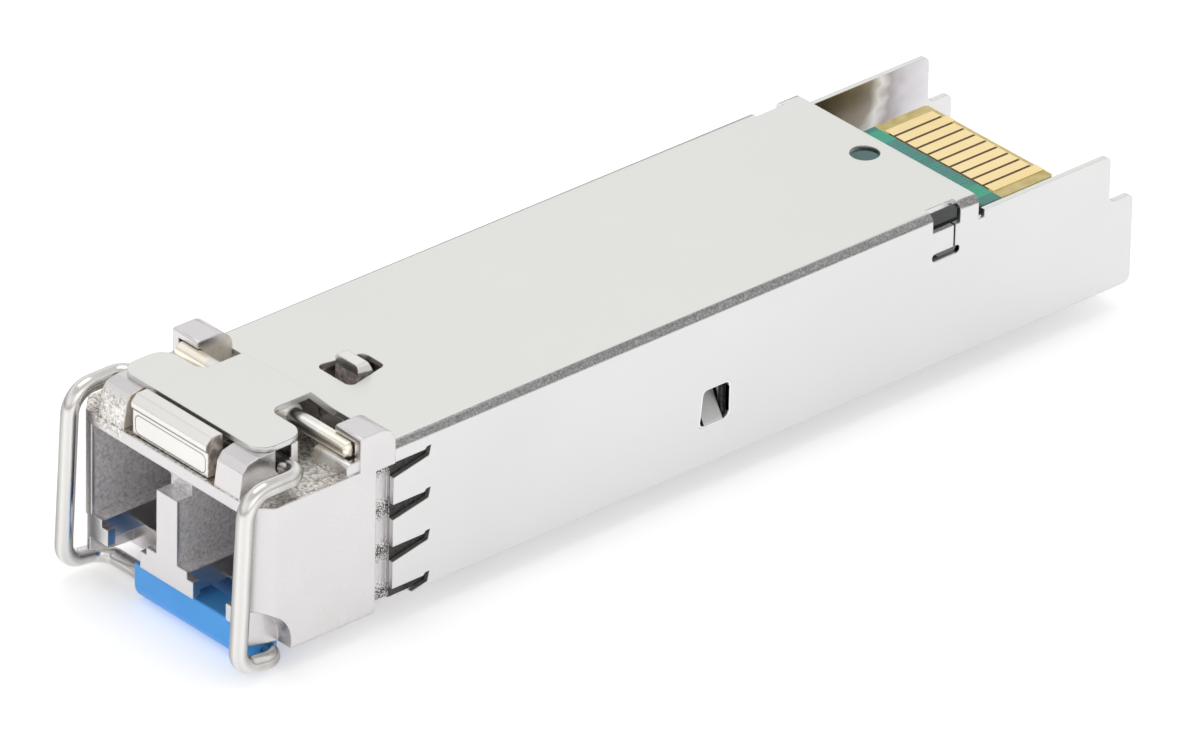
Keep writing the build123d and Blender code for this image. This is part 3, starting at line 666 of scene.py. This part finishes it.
def rocker_finish():
    """Bright stamped lever, with a brown tint and painted shade where it lies under the plate and
    on its pad's ends, a painted warm reflection on its pins, and painted shade under its bead and
    along its pad's panel.
    """
    mat, shader = material("rocker_metal")
    place = coordinates(mat)
    x, y, z = axes_of(mat, place)
    side = math_node(mat, "ABSOLUTE", x)
    fine = noise(mat, place, 2600.0, detail=4.0)
    broad = noise(mat, place, 240.0, detail=2.0)
    bright = cloud(mat, broad, (0.78, 0.77, 0.745), (0.84, 0.83, 0.805))

    # brown tint and painted shade on the rear arm under the plate and on the pad's ends beside the
    # posts
    rear_arm = both(mat, step(mat, z, REAR_ARM_Z), step(mat, y, REAR_ARM_Y))
    pad_end = both(mat, step(mat, side, PAD_END_SIDE), step(mat, y, PAD_END_Y))
    brown_and_shade_zone = either(mat, rear_arm, pad_end)
    brown_and_shade = ramp(
        mat,
        fine,
        (0.35, (0.30, 0.25, 0.22)),
        (0.5, (0.48, 0.42, 0.39)),
        (0.65, (0.80, 0.76, 0.73)),
    )
    tone = blend_colours(mat, brown_and_shade_zone, bright, brown_and_shade)

    # painted reflection: the pins are tinted warm, standing in for the warm recess they mirror
    pin = both(mat, step(mat, side, PIN_SIDE), step(mat, z, PIN_Z))
    warm_reflection = cloud(mat, broad, (0.90, 0.85, 0.72), (0.95, 0.92, 0.84))
    tone = blend_colours(mat, pin, tone, warm_reflection)

    # painted shade: a dark stripe under the bead and a thin dark line along the panel's groove
    front = step(mat, y, PAD_FRONT_Y)
    bead_shade = both(mat, front, belt(mat, z, BEAD_SHADE_Z, CRISP))
    outline = both(mat, front, panel_line(mat, side, z), step(mat, z, PANEL_TOP_Z))
    shade = cloud(mat, broad, warm(0.24, 1), warm(0.30, 1))
    tone = blend_colours(mat, either(mat, bead_shade, outline), tone, shade)
    link(mat, tone, shader.inputs["Base Color"])
    link(mat, spread(mat, brown_and_shade_zone, 0.0, 1.0, 1.0, 0.45), shader.inputs["Metallic"])
    link(mat, vary(mat, broad, 0.22, 0.28), shader.inputs["Roughness"])
    bump(mat, shader, fine, 0.01, spread(mat, brown_and_shade_zone, 0.0, 1.0, 0.05, 0.8), edge=0.12)
    return mat


def wire_finish():
    """Drawn wire with painted light: bright along its middle and painted greyer towards its
    flanks.
    """
    mat, shader = material("wire_steel")
    fine = noise(mat, coordinates(mat, (1.0, 1.0, 0.2)), 1500.0)
    facing_x, facing_y, _ = axes_of(mat, coordinates(mat, kind="Normal"))
    # painted shade and highlight: the tone follows how far the normal turns along the level
    # direction (0.67, 0.74) across the line of sight, so the middle reads bright and the sides
    # grey
    across = math_node(mat, "MULTIPLY", facing_x, 0.67)
    view_side_shade = math_node(mat, "ADD", across, math_node(mat, "MULTIPLY", facing_y, 0.74))
    view_side_shade = math_node(mat, "ABSOLUTE", view_side_shade)
    view_side_shade = math_node(mat, "ADD", view_side_shade, vary(mat, fine, -0.05, 0.05))
    tone = ramp(
        mat,
        view_side_shade,
        (0.0, warm(0.70, 1)),
        (0.45, warm(0.78, 1)),
        (0.78, warm(0.50, 1)),
        (1.0, warm(0.28, 1)),
    )
    link(mat, tone, shader.inputs["Base Color"])
    shader.inputs["Metallic"].default_value = 1.0
    link(mat, vary(mat, fine, 0.16, 0.24), shader.inputs["Roughness"])
    bump(mat, shader, fine, 0.004)
    return mat


def board_finish():
    """Solder mask up to the contacts, bare laminate beyond, with painted shade in the gaps between
    the contacts, under the plate's rear edge and on the side margins.
    """
    mat, shader = material("board_green")
    place = coordinates(mat)
    x, y, z = axes_of(mat, place)
    side = math_node(mat, "ABSOLUTE", x)
    weave = noise(mat, coordinates(mat, (1.0, 0.6, 1.0)), 2600.0, detail=3.0)
    broad = noise(mat, place, 500.0, detail=3.0)
    mask = cloud(mat, broad, (0.035, 0.205, 0.175), (0.05, 0.25, 0.21))
    laminate = cloud(mat, weave, (0.50, 0.38, 0.10), (0.66, 0.55, 0.24))
    bare = step(mat, y, (MASK_REAR - MASK_EDGE, MASK_REAR + MASK_EDGE))
    tone = blend_colours(mat, bare, mask, laminate)

    # painted shadow: the laminate between the contacts is painted dark brown
    between_contacts = both(
        mat,
        belt(mat, side, (-1.0, CONTACTS_HALF), CRISP),
        belt(mat, y, (MASK_REAR, CONTACT_REAR), CRISP),
    )
    contact_gap_shade = cloud(mat, weave, (0.045, 0.016, 0.014), (0.10, 0.04, 0.03))
    tone = blend_colours(mat, between_contacts, tone, contact_gap_shade)

    edge = both(mat, step(mat, z, BOARD_EDGE_TOP), step(mat, z, BOARD_EDGE_BOTTOM))
    tone = blend_colours(mat, edge, tone, laminate)

    under_plate = cloud(mat, weave, (0.045, 0.125, 0.125), (0.065, 0.17, 0.165))
    tone = blend_colours(mat, step(mat, y, SHADE_Y), tone, under_plate)

    # painted shade: the side margins at the board's front are painted near black
    board_rim_shade = both(mat, step(mat, side, BOARD_RIM_SIDE), step(mat, y, BOARD_RIM_Y))
    dark = cloud(mat, weave, (0.008, 0.012, 0.012), (0.02, 0.03, 0.03))
    tone = blend_colours(mat, board_rim_shade, tone, dark)
    link(mat, tone, shader.inputs["Base Color"])
    link(mat, vary(mat, weave, 0.28, 0.42), shader.inputs["Roughness"])
    bump(mat, shader, weave, 0.008, 0.4)
    return mat


def dress(obj, mat):
    """Puts a material on every slot of an object."""
    if not obj.material_slots:
        obj.data.materials.append(mat)
    for place in obj.material_slots:
        place.material = mat


def soften(node, width):
    """Rounds a carried-over node's sharp edges, as pressing, casting or plating does."""
    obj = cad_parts[node]
    weld = obj.modifiers.new("weld", "WELD")
    weld.merge_threshold = WELD_DISTANCE
    flat = obj.modifiers.new("flat", "DECIMATE")
    flat.decimate_type = "DISSOLVE"
    flat.angle_limit = math.radians(FLAT_ANGLE)
    edge = obj.modifiers.new("edge", "BEVEL")
    edge.width = width * MM
    edge.segments = EDGE_SEGMENTS
    edge.limit_method = "ANGLE"
    edge.angle_limit = math.radians(EDGE_ANGLE)
    edge.use_clamp_overlap = False
    edge.harden_normals = True
    edge.miter_outer = "MITER_SHARP"


cast_metal = cast_finish()
cover_metal = cover_finish()
rocker_metal = rocker_finish()
wire_metal = wire_finish()
spring_metal = metal("spring_steel", warm(0.60), warm(0.70), 0.20, 0.30)
barrel_metal = metal("barrel_steel", warm(0.55), warm(0.66), 0.20, 0.32, grain=(1.0, 8.0, 1.0))
# painted highlight: the window rims get a lighter tone than the cover's steel, on top of their
# real rolled shape
rim_highlight_metal = metal("rim_steel_highlight", warm(0.84), warm(0.90), 0.26, 0.34, scale=3000.0)
clamp_metal = metal("clamp_steel", warm(0.60), warm(0.70), 0.26, 0.36)
can_metal = metal("can_gold", (0.72, 0.55, 0.26), (0.86, 0.68, 0.36), 0.20, 0.30)
contact_metal = metal(
    "contact_gold", (0.94, 0.74, 0.36), (0.98, 0.80, 0.43), 0.24, 0.36, scale=1500.0
)
handle_plastic = plastic(
    "handle_blue", (0.050, 0.32, 0.78), (0.065, 0.36, 0.84), 0.32, 0.44, scale=3000.0
)
ceramic = plastic("ceramic_white", (0.82, 0.80, 0.76), (0.90, 0.89, 0.85), 0.12, 0.22)
flex_film = plastic("flex_amber", (0.40, 0.17, 0.03), (0.50, 0.24, 0.05), 0.25, 0.40)
board_mask = board_finish()
trace_mask = plastic(
    "trace_green", (0.020, 0.33, 0.20), (0.035, 0.40, 0.26), 0.25, 0.38, scale=2500.0
)
chip_body = plastic("chip_black", (0.012, 0.012, 0.013), (0.024, 0.024, 0.026), 0.45, 0.60)
capacitor_body = plastic("capacitor_tan", (0.30, 0.20, 0.11), (0.40, 0.28, 0.16), 0.40, 0.55)
resistor_body = plastic("resistor_black", (0.015, 0.015, 0.017), (0.03, 0.03, 0.035), 0.30, 0.45)
inductor_body = plastic("inductor_grey", (0.05, 0.05, 0.055), (0.09, 0.09, 0.095), 0.50, 0.65)

finishes = {
    "housing_casting": cast_metal,
    "steel_cover": cover_metal,
    "latch_rocker": rocker_metal,
    "latch_spring": spring_metal,
    "bail_wire": wire_metal,
    "bail_handle": handle_plastic,
    "transmitter_barrel": barrel_metal,
    "receiver_barrel": barrel_metal,
    "transmitter_sleeve": ceramic,
    "receiver_sleeve": ceramic,
    "transmitter_can": can_metal,
    "receiver_can": can_metal,
    "transmitter_flex": flex_film,
    "receiver_flex": flex_film,
    "optics_clamp": clamp_metal,
    "circuit_board": board_mask,
    "top_contacts": contact_metal,
    "bottom_contacts": contact_metal,
    "laser_driver_chip": chip_body,
    "receiver_amplifier_chip": chip_body,
    "controller_chip": chip_body,
    "memory_chip": chip_body,
    "capacitors": capacitor_body,
    "resistors": resistor_body,
    "inductors": inductor_body,
}
for node, finish in finishes.items():
    dress(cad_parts[node], finish)
soften("housing_casting", CAST_EDGE)
soften("steel_cover", SHEET_EDGE)
soften("latch_rocker", SHEET_EDGE)


def skin(mesh, rings, closed=False):
    """Joins each ring of points to the next one, and the last to the first if closed."""
    nexts = rings[1:] + rings[:1] if closed else rings[1:]
    for first, second in zip(rings, nexts):
        for index in range(len(first)):
            following = (index + 1) % len(first)
            corners = (first[index], first[following], second[following], second[index])
            mesh.faces.new(corners)


def mesh_data(mesh, name, smooth=False):
    """Mesh data with outward faces from a bmesh, which is freed."""
    bmesh.ops.recalc_face_normals(mesh, faces=mesh.faces)
    for face in mesh.faces:
        face.smooth = smooth
    data = bpy.data.meshes.new(name)
    mesh.to_mesh(data)
    mesh.free()
    return data


def new_piece(name, mesh, mat, body):
    """A mesh object that rides on a body."""
    mesh.materials.append(mat)
    obj = bpy.data.objects.new(name, mesh)
    bpy.context.collection.objects.link(obj)
    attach(obj, body)
    return obj


def rounded_path(corners, bends):
    """Points along straight runs joined by arcs, with a bend radius at each inner corner."""
    points = [corners[0]]
    for before, corner, after, bend in zip(corners, corners[1:], corners[2:], bends):
        arriving = (corner - before).normalized()
        leaving = (after - corner).normalized()
        turn = arriving.angle(leaving)
        reach = bend * math.tan(turn / 2)
        axis = arriving.cross(leaving).normalized()
        start = corner - arriving * reach
        inward = axis.cross(arriving)
        centre = start + inward * bend
        for stage in range(BEND_STEPS + 1):
            spin = Matrix.Rotation(turn * stage / BEND_STEPS, 3, axis)
            points.append(centre - spin @ (inward * bend))
    points.append(corners[-1])
    return points


def directions(path):
    """The unit direction of a path at each of its points."""
    last = len(path) - 1
    return [
        (path[min(index + 1, last)] - path[max(index - 1, 0)]).normalized()
        for index in range(len(path))
    ]


def bail_loop():
    """The bent wire as one smooth closed loop, flat over the rocker's cam."""
    corners = [
        Vector((0.0, BAIL_Y, BAIL_Z)),
        Vector((LEG_X, BAIL_Y, BAIL_Z)),
        Vector((LEG_X, LEG_TOP_Y, BAIL_Z)),
        Vector((LEG_X, LEG_BOTTOM_Y, LEG_BOTTOM_Z)),
        Vector((LEG_X, CROSS_Y, RUN_Z)),
        Vector((0.0, CROSS_Y, RUN_Z)),
    ]
    path = rounded_path(corners, [SHOULDER_BEND, TOP_BEND, BOTTOM_BEND, BOTTOM_BEND])
    # Two rings at one place make the step between the flat and the round wire.
    flat_end = Vector((FLAT_HALF, BAIL_Y, BAIL_Z))
    path[1:1] = [flat_end, flat_end]
    mesh = bmesh.new()
    rings = []
    across = Vector((0.0, 1.0, 0.0))
    for index, (point, along) in enumerate(zip(path, directions(path))):
        across = (across - along * across.dot(along)).normalized()
        other = along.cross(across)
        ring = []
        for side in range(WIRE_SIDES):
            angle = 2 * math.pi * side / WIRE_SIDES
            spoke = across * math.cos(angle) + other * math.sin(angle)
            place = point + spoke * WIRE_RADIUS
            if index < 2:
                place.z = min(place.z, BAIL_Z + CAM_HEIGHT)
            ring.append(mesh.verts.new(place * MM))
        rings.append(ring)
    skin(mesh, rings)
    geometry = mesh.verts[:] + mesh.edges[:] + mesh.faces[:]
    bmesh.ops.mirror(mesh, geom=geometry, axis="X", merge_dist=MIRROR_DISTANCE)
    bmesh.ops.remove_doubles(mesh, verts=mesh.verts, dist=WELD_DISTANCE)
    bmesh.ops.dissolve_degenerate(mesh, edges=mesh.edges, dist=WELD_DISTANCE)
    data = mesh_data(mesh, "bail_loop", smooth=True)
    loop = new_piece("bail_loop", data, wire_metal, "bail")
    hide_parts("bail_wire")


def arc(centre, radius, start, end, steps):
    """Points of an arc in the (y, z) plane, angles in degrees."""
    points = []
    for stage in range(steps + 1):
        angle = math.radians(start + (end - start) * stage / steps)
        points.append((centre[0] + radius * math.cos(angle), centre[1] + radius * math.sin(angle)))
    return points


def pull_bar():
    """The moulded bar on the cross run: hollow top, deep rounded belly, soft ends."""
    front_angle = math.degrees(math.acos((HANDLE_FRONT - BAIL_Y) / HANDLE_SWEEP))
    rear_angle = math.degrees(math.acos((HANDLE_REAR - BAIL_Y) / HANDLE_SWEEP))
    hollow = arc((BAIL_Y, BAIL_Z), HANDLE_SWEEP, -rear_angle, -front_angle, SWEEP_STEPS)
    belly_centre = (HANDLE_FRONT + HANDLE_BELLY, HANDLE_BOTTOM + HANDLE_BELLY)
    belly = arc(belly_centre, HANDLE_BELLY, 180, 270, SWEEP_STEPS)
    heel_centre = (HANDLE_REAR - HANDLE_CORNER, HANDLE_BOTTOM + HANDLE_CORNER)
    heel = arc(heel_centre, HANDLE_CORNER, 270, 360, HEEL_STEPS)
    mesh = bmesh.new()
    outline = hollow + belly + heel
    near = [mesh.verts.new(Vector((HANDLE_LEFT, y, z)) * MM) for y, z in outline]
    end_face = mesh.faces.new(near)
    grown = bmesh.ops.extrude_face_region(mesh, geom=[end_face])
    moved = [item for item in grown["geom"] if isinstance(item, bmesh.types.BMVert)]
    run = Vector(((HANDLE_RIGHT - HANDLE_LEFT) * MM, 0, 0))
    bmesh.ops.translate(mesh, verts=moved, vec=run)
    bmesh.ops.recalc_face_normals(mesh, faces=mesh.faces)
    sharp_angle = math.radians(HANDLE_SHARP)
    sharp = [edge for edge in mesh.edges if edge.calc_face_angle(0.0) > sharp_angle]
    bmesh.ops.bevel(
        mesh,
        geom=sharp,
        offset=HANDLE_EDGE * MM,
        offset_type="OFFSET",
        segments=HANDLE_EDGE_STEPS,
        profile=0.5,
        affect="EDGES",
        clamp_overlap=True,
    )
    data = mesh_data(mesh, "pull_bar", smooth=True)
    bar = new_piece("pull_bar", data, handle_plastic, "bail")
    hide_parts("bail_handle")


def spring_leaf():
    """Bent leaf with a curled tip under the latch's rear arm, riding on the housing."""
    half = LEAF / 2
    corners = [
        Vector((0.0, LEAF_FRONT, LEAF_BASE_Z + half)),
        Vector((0.0, LEAF_KNEE, LEAF_BASE_Z + half)),
        Vector((0.0, LEAF_TIP, LEAF_TIP_Z - half)),
        Vector((0.0, LEAF_TIP + LEAF_CURL, LEAF_TIP_Z - LEAF_CURL)),
    ]
    path = rounded_path(corners, [LEAF_KNEE_BEND, LEAF_CURL_BEND])
    rounding = LEAF / 4
    section = [
        (LEAF_HALF - rounding, half),
        (LEAF_HALF, half - rounding),
        (LEAF_HALF, rounding - half),
        (LEAF_HALF - rounding, -half),
        (rounding - LEAF_HALF, -half),
        (-LEAF_HALF, rounding - half),
        (-LEAF_HALF, half - rounding),
        (rounding - LEAF_HALF, half),
    ]
    mesh = bmesh.new()
    rings = []
    for point, along in zip(path, directions(path)):
        lift = Vector((0.0, -along.z, along.y))
        places = [(point + Vector((x, 0.0, 0.0)) + lift * rise) * MM for x, rise in section]
        rings.append([mesh.verts.new(place) for place in places])
    skin(mesh, rings)
    mesh.faces.new(rings[0])
    mesh.faces.new(rings[-1])
    data = mesh_data(mesh, "spring_leaf")
    leaf = new_piece("spring_leaf", data, spring_metal, "housing")
    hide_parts("latch_spring")
    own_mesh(leaf)


def raised_strip(mesh, x_low, x_high, y_low, y_high):
    """A thin raised track with sloped sides on the board's upper face."""
    slope = TRACE_HEIGHT
    base = [(x_low, y_low), (x_high, y_low), (x_high, y_high), (x_low, y_high)]
    crest = [
        (x_low + slope, y_low + slope),
        (x_high - slope, y_low + slope),
        (x_high - slope, y_high - slope),
        (x_low + slope, y_high - slope),
    ]
    low = [mesh.verts.new(Vector((x, y, BOARD_TOP)) * MM) for x, y in base]
    high = [mesh.verts.new(Vector((x, y, BOARD_TOP + TRACE_HEIGHT)) * MM) for x, y in crest]
    mesh.faces.new(high)
    mesh.faces.new(low[::-1])
    skin(mesh, [low, high])


def board_tracks():
    """Copper areas and paired tracks under the solder mask."""
    mesh = bmesh.new()
    for low, high in COPPER_SPANS:
        raised_strip(mesh, low, high, COPPER_FRONT, MASK_REAR)
    for middle in TRACK_MIDDLES:
        raised_strip(mesh, middle - TRACK_HALF, middle + TRACK_HALF, TRACK_FRONT, MASK_REAR)
    data = mesh_data(mesh, "board_tracks")
    new_piece("board_tracks", data, trace_mask, "housing")


def rounded_outline(corners, radius, steps):
    """A closed (y, z) outline with every corner rounded."""
    points = []
    count = len(corners)
    for index, corner in enumerate(corners):
        before = Vector(corners[index - 1])
        here = Vector(corner)
        after = Vector(corners[(index + 1) % count])
        arriving = (here - before).normalized()
        leaving = (after - here).normalized()
        turn = arriving.angle(leaving)
        reach = radius * math.tan(turn / 2)
        start = here - arriving * reach
        hand = 1.0 if arriving.x * leaving.y - arriving.y * leaving.x > 0 else -1.0
        inward = Vector((-arriving.y, arriving.x)) * hand
        centre = start + inward * radius
        for stage in range(steps + 1):
            spin = Matrix.Rotation(hand * turn * stage / steps, 2)
            points.append(centre - spin @ (inward * radius))
    return points


def widened(points, middle, width):
    """An outline whose points are moved away from its middle."""
    return [point + (point - middle).normalized() * width for point in points]


def window_rim(name, corners, radius):
    """The rolled edge that punching leaves round a window of both side walls."""
    mesh = bmesh.new()
    middle = sum((Vector(corner) for corner in corners), Vector((0.0, 0.0))) / len(corners)
    inner = rounded_outline(corners, radius, LANCE_STEPS)
    outer = widened(inner, middle, RIM_WIDTH)
    crown = widened(inner, middle, RIM_WIDTH * RIM_CROWN)
    for hand in (-1, 1):
        face = hand * WALL_X
        layers = (
            (inner, face - hand * WALL_SHEET),
            (inner, face),
            (crown, face + hand * RIM_RISE),
            (outer, face),
            (outer, face - hand * RIM_ROOT),
            (crown, face - hand * WALL_SHEET),
        )
        rings = [
            [mesh.verts.new(Vector((x, point.x, point.y)) * MM) for point in ring]
            for ring, x in layers
        ]
        skin(mesh, rings, closed=True)
    data = mesh_data(mesh, name, smooth=True)
    new_piece(name, data, rim_highlight_metal, "housing")


bail_loop()
pull_bar()
spring_leaf()
board_tracks()
window_rim("lance_rims", LANCE_CORNERS, LANCE_RADIUS)


def view_axes():
    """Right, up and back vectors of the camera at the photograph's angle."""
    azimuth = math.radians(VIEW_AZIMUTH)
    elevation = math.radians(VIEW_ELEVATION)
    roll = math.radians(VIEW_ROLL)
    back = Vector(
        (
            math.sin(azimuth) * math.cos(elevation),
            -math.cos(azimuth) * math.cos(elevation),
            math.sin(elevation),
        )
    )
    level = Vector((math.cos(azimuth), math.sin(azimuth), 0.0))
    lift = back.cross(level)
    right = level * math.cos(roll) + lift * math.sin(roll)
    up = lift * math.cos(roll) - level * math.sin(roll)
    return right, up, back


def add_camera():
    """The camera of the photograph, with the aim point on its pixel."""
    right, up, back = view_axes()
    shift_right = (IMAGE_WIDTH / 2 - AIM_PIXEL[0]) / PIXELS_PER_MM * MM
    shift_up = (AIM_PIXEL[1] - IMAGE_HEIGHT / 2) / PIXELS_PER_MM * MM
    centre = AIM_POINT + right * shift_right + up * shift_up
    camera = bpy.data.cameras.new("camera")
    camera.sensor_fit = "HORIZONTAL"
    camera.sensor_width = SENSOR_WIDTH
    focal_pixels = PIXELS_PER_MM / MM * VIEW_DISTANCE
    camera.lens = focal_pixels * camera.sensor_width / IMAGE_WIDTH
    camera.clip_start = CLIP_START
    camera.clip_end = CLIP_END
    holder = bpy.data.objects.new("camera", camera)
    turn = Matrix((right, up, back)).transposed().to_4x4()
    holder.matrix_world = Matrix.Translation(centre + back * VIEW_DISTANCE) @ turn
    bpy.context.collection.objects.link(holder)
    bpy.context.scene.camera = holder


def add_floor():
    """A pale floor just under the part's lowest point."""
    mat, shader = material("floor_pale")
    speck = noise(mat, coordinates(mat), 300.0, detail=2.0)
    tone = ramp(mat, speck, (0.2, (0.94, 0.94, 0.94)), (0.8, (0.96, 0.96, 0.96)))
    link(mat, tone, shader.inputs["Base Color"])
    shader.inputs["Roughness"].default_value = 0.9
    shader.inputs["Specular IOR Level"].default_value = 0.1
    shader.inputs["Emission Color"].default_value = (1.0, 1.0, 1.0, 1.0)
    shader.inputs["Emission Strength"].default_value = FLOOR_GLOW
    height = cad_box[0][2] - FLOOR_GAP
    bpy.ops.mesh.primitive_plane_add(size=FLOOR_SIZE, location=(0.0, 0.0, height))
    floor = bpy.context.object
    floor.name = "studio_floor"
    floor.data.materials.append(mat)


def add_area_light(name, place, size, power):
    """A soft white rectangle that faces the part's middle."""
    light = bpy.data.lights.new(name, "AREA")
    light.shape = "RECTANGLE"
    light.size, light.size_y = size
    light.energy = power
    holder = bpy.data.objects.new(name, light)
    direction = Vector(PART_MIDDLE) - Vector(place)
    holder.rotation_euler = direction.to_track_quat("-Z", "Y").to_euler()
    holder.location = place
    bpy.context.collection.objects.link(holder)


def add_world():
    """An even white studio, a little darker and warmer towards the horizon."""
    world = bpy.data.worlds.new("studio")
    world.use_nodes = True
    tree = world.node_tree
    background = tree.nodes["Background"]
    coord = tree.nodes.new("ShaderNodeTexCoord")
    parts = tree.nodes.new("ShaderNodeSeparateXYZ")
    tones = tree.nodes.new("ShaderNodeValToRGB")
    tree.links.new(coord.outputs["Generated"], parts.inputs["Vector"])
    tree.links.new(parts.outputs["Z"], tones.inputs["Fac"])
    tree.links.new(tones.outputs["Color"], background.inputs["Color"])
    fill_ramp(tones.color_ramp, SKY_TONES)
    background.inputs["Strength"].default_value = 1.0
    bpy.context.scene.world = world


add_camera()
add_floor()
add_world()
add_area_light("key", KEY_PLACE, KEY_SIZE, KEY_POWER)
add_area_light("fill", FILL_PLACE, FILL_SIZE, FILL_POWER)
bpy.context.scene.view_settings.view_transform = "Standard"
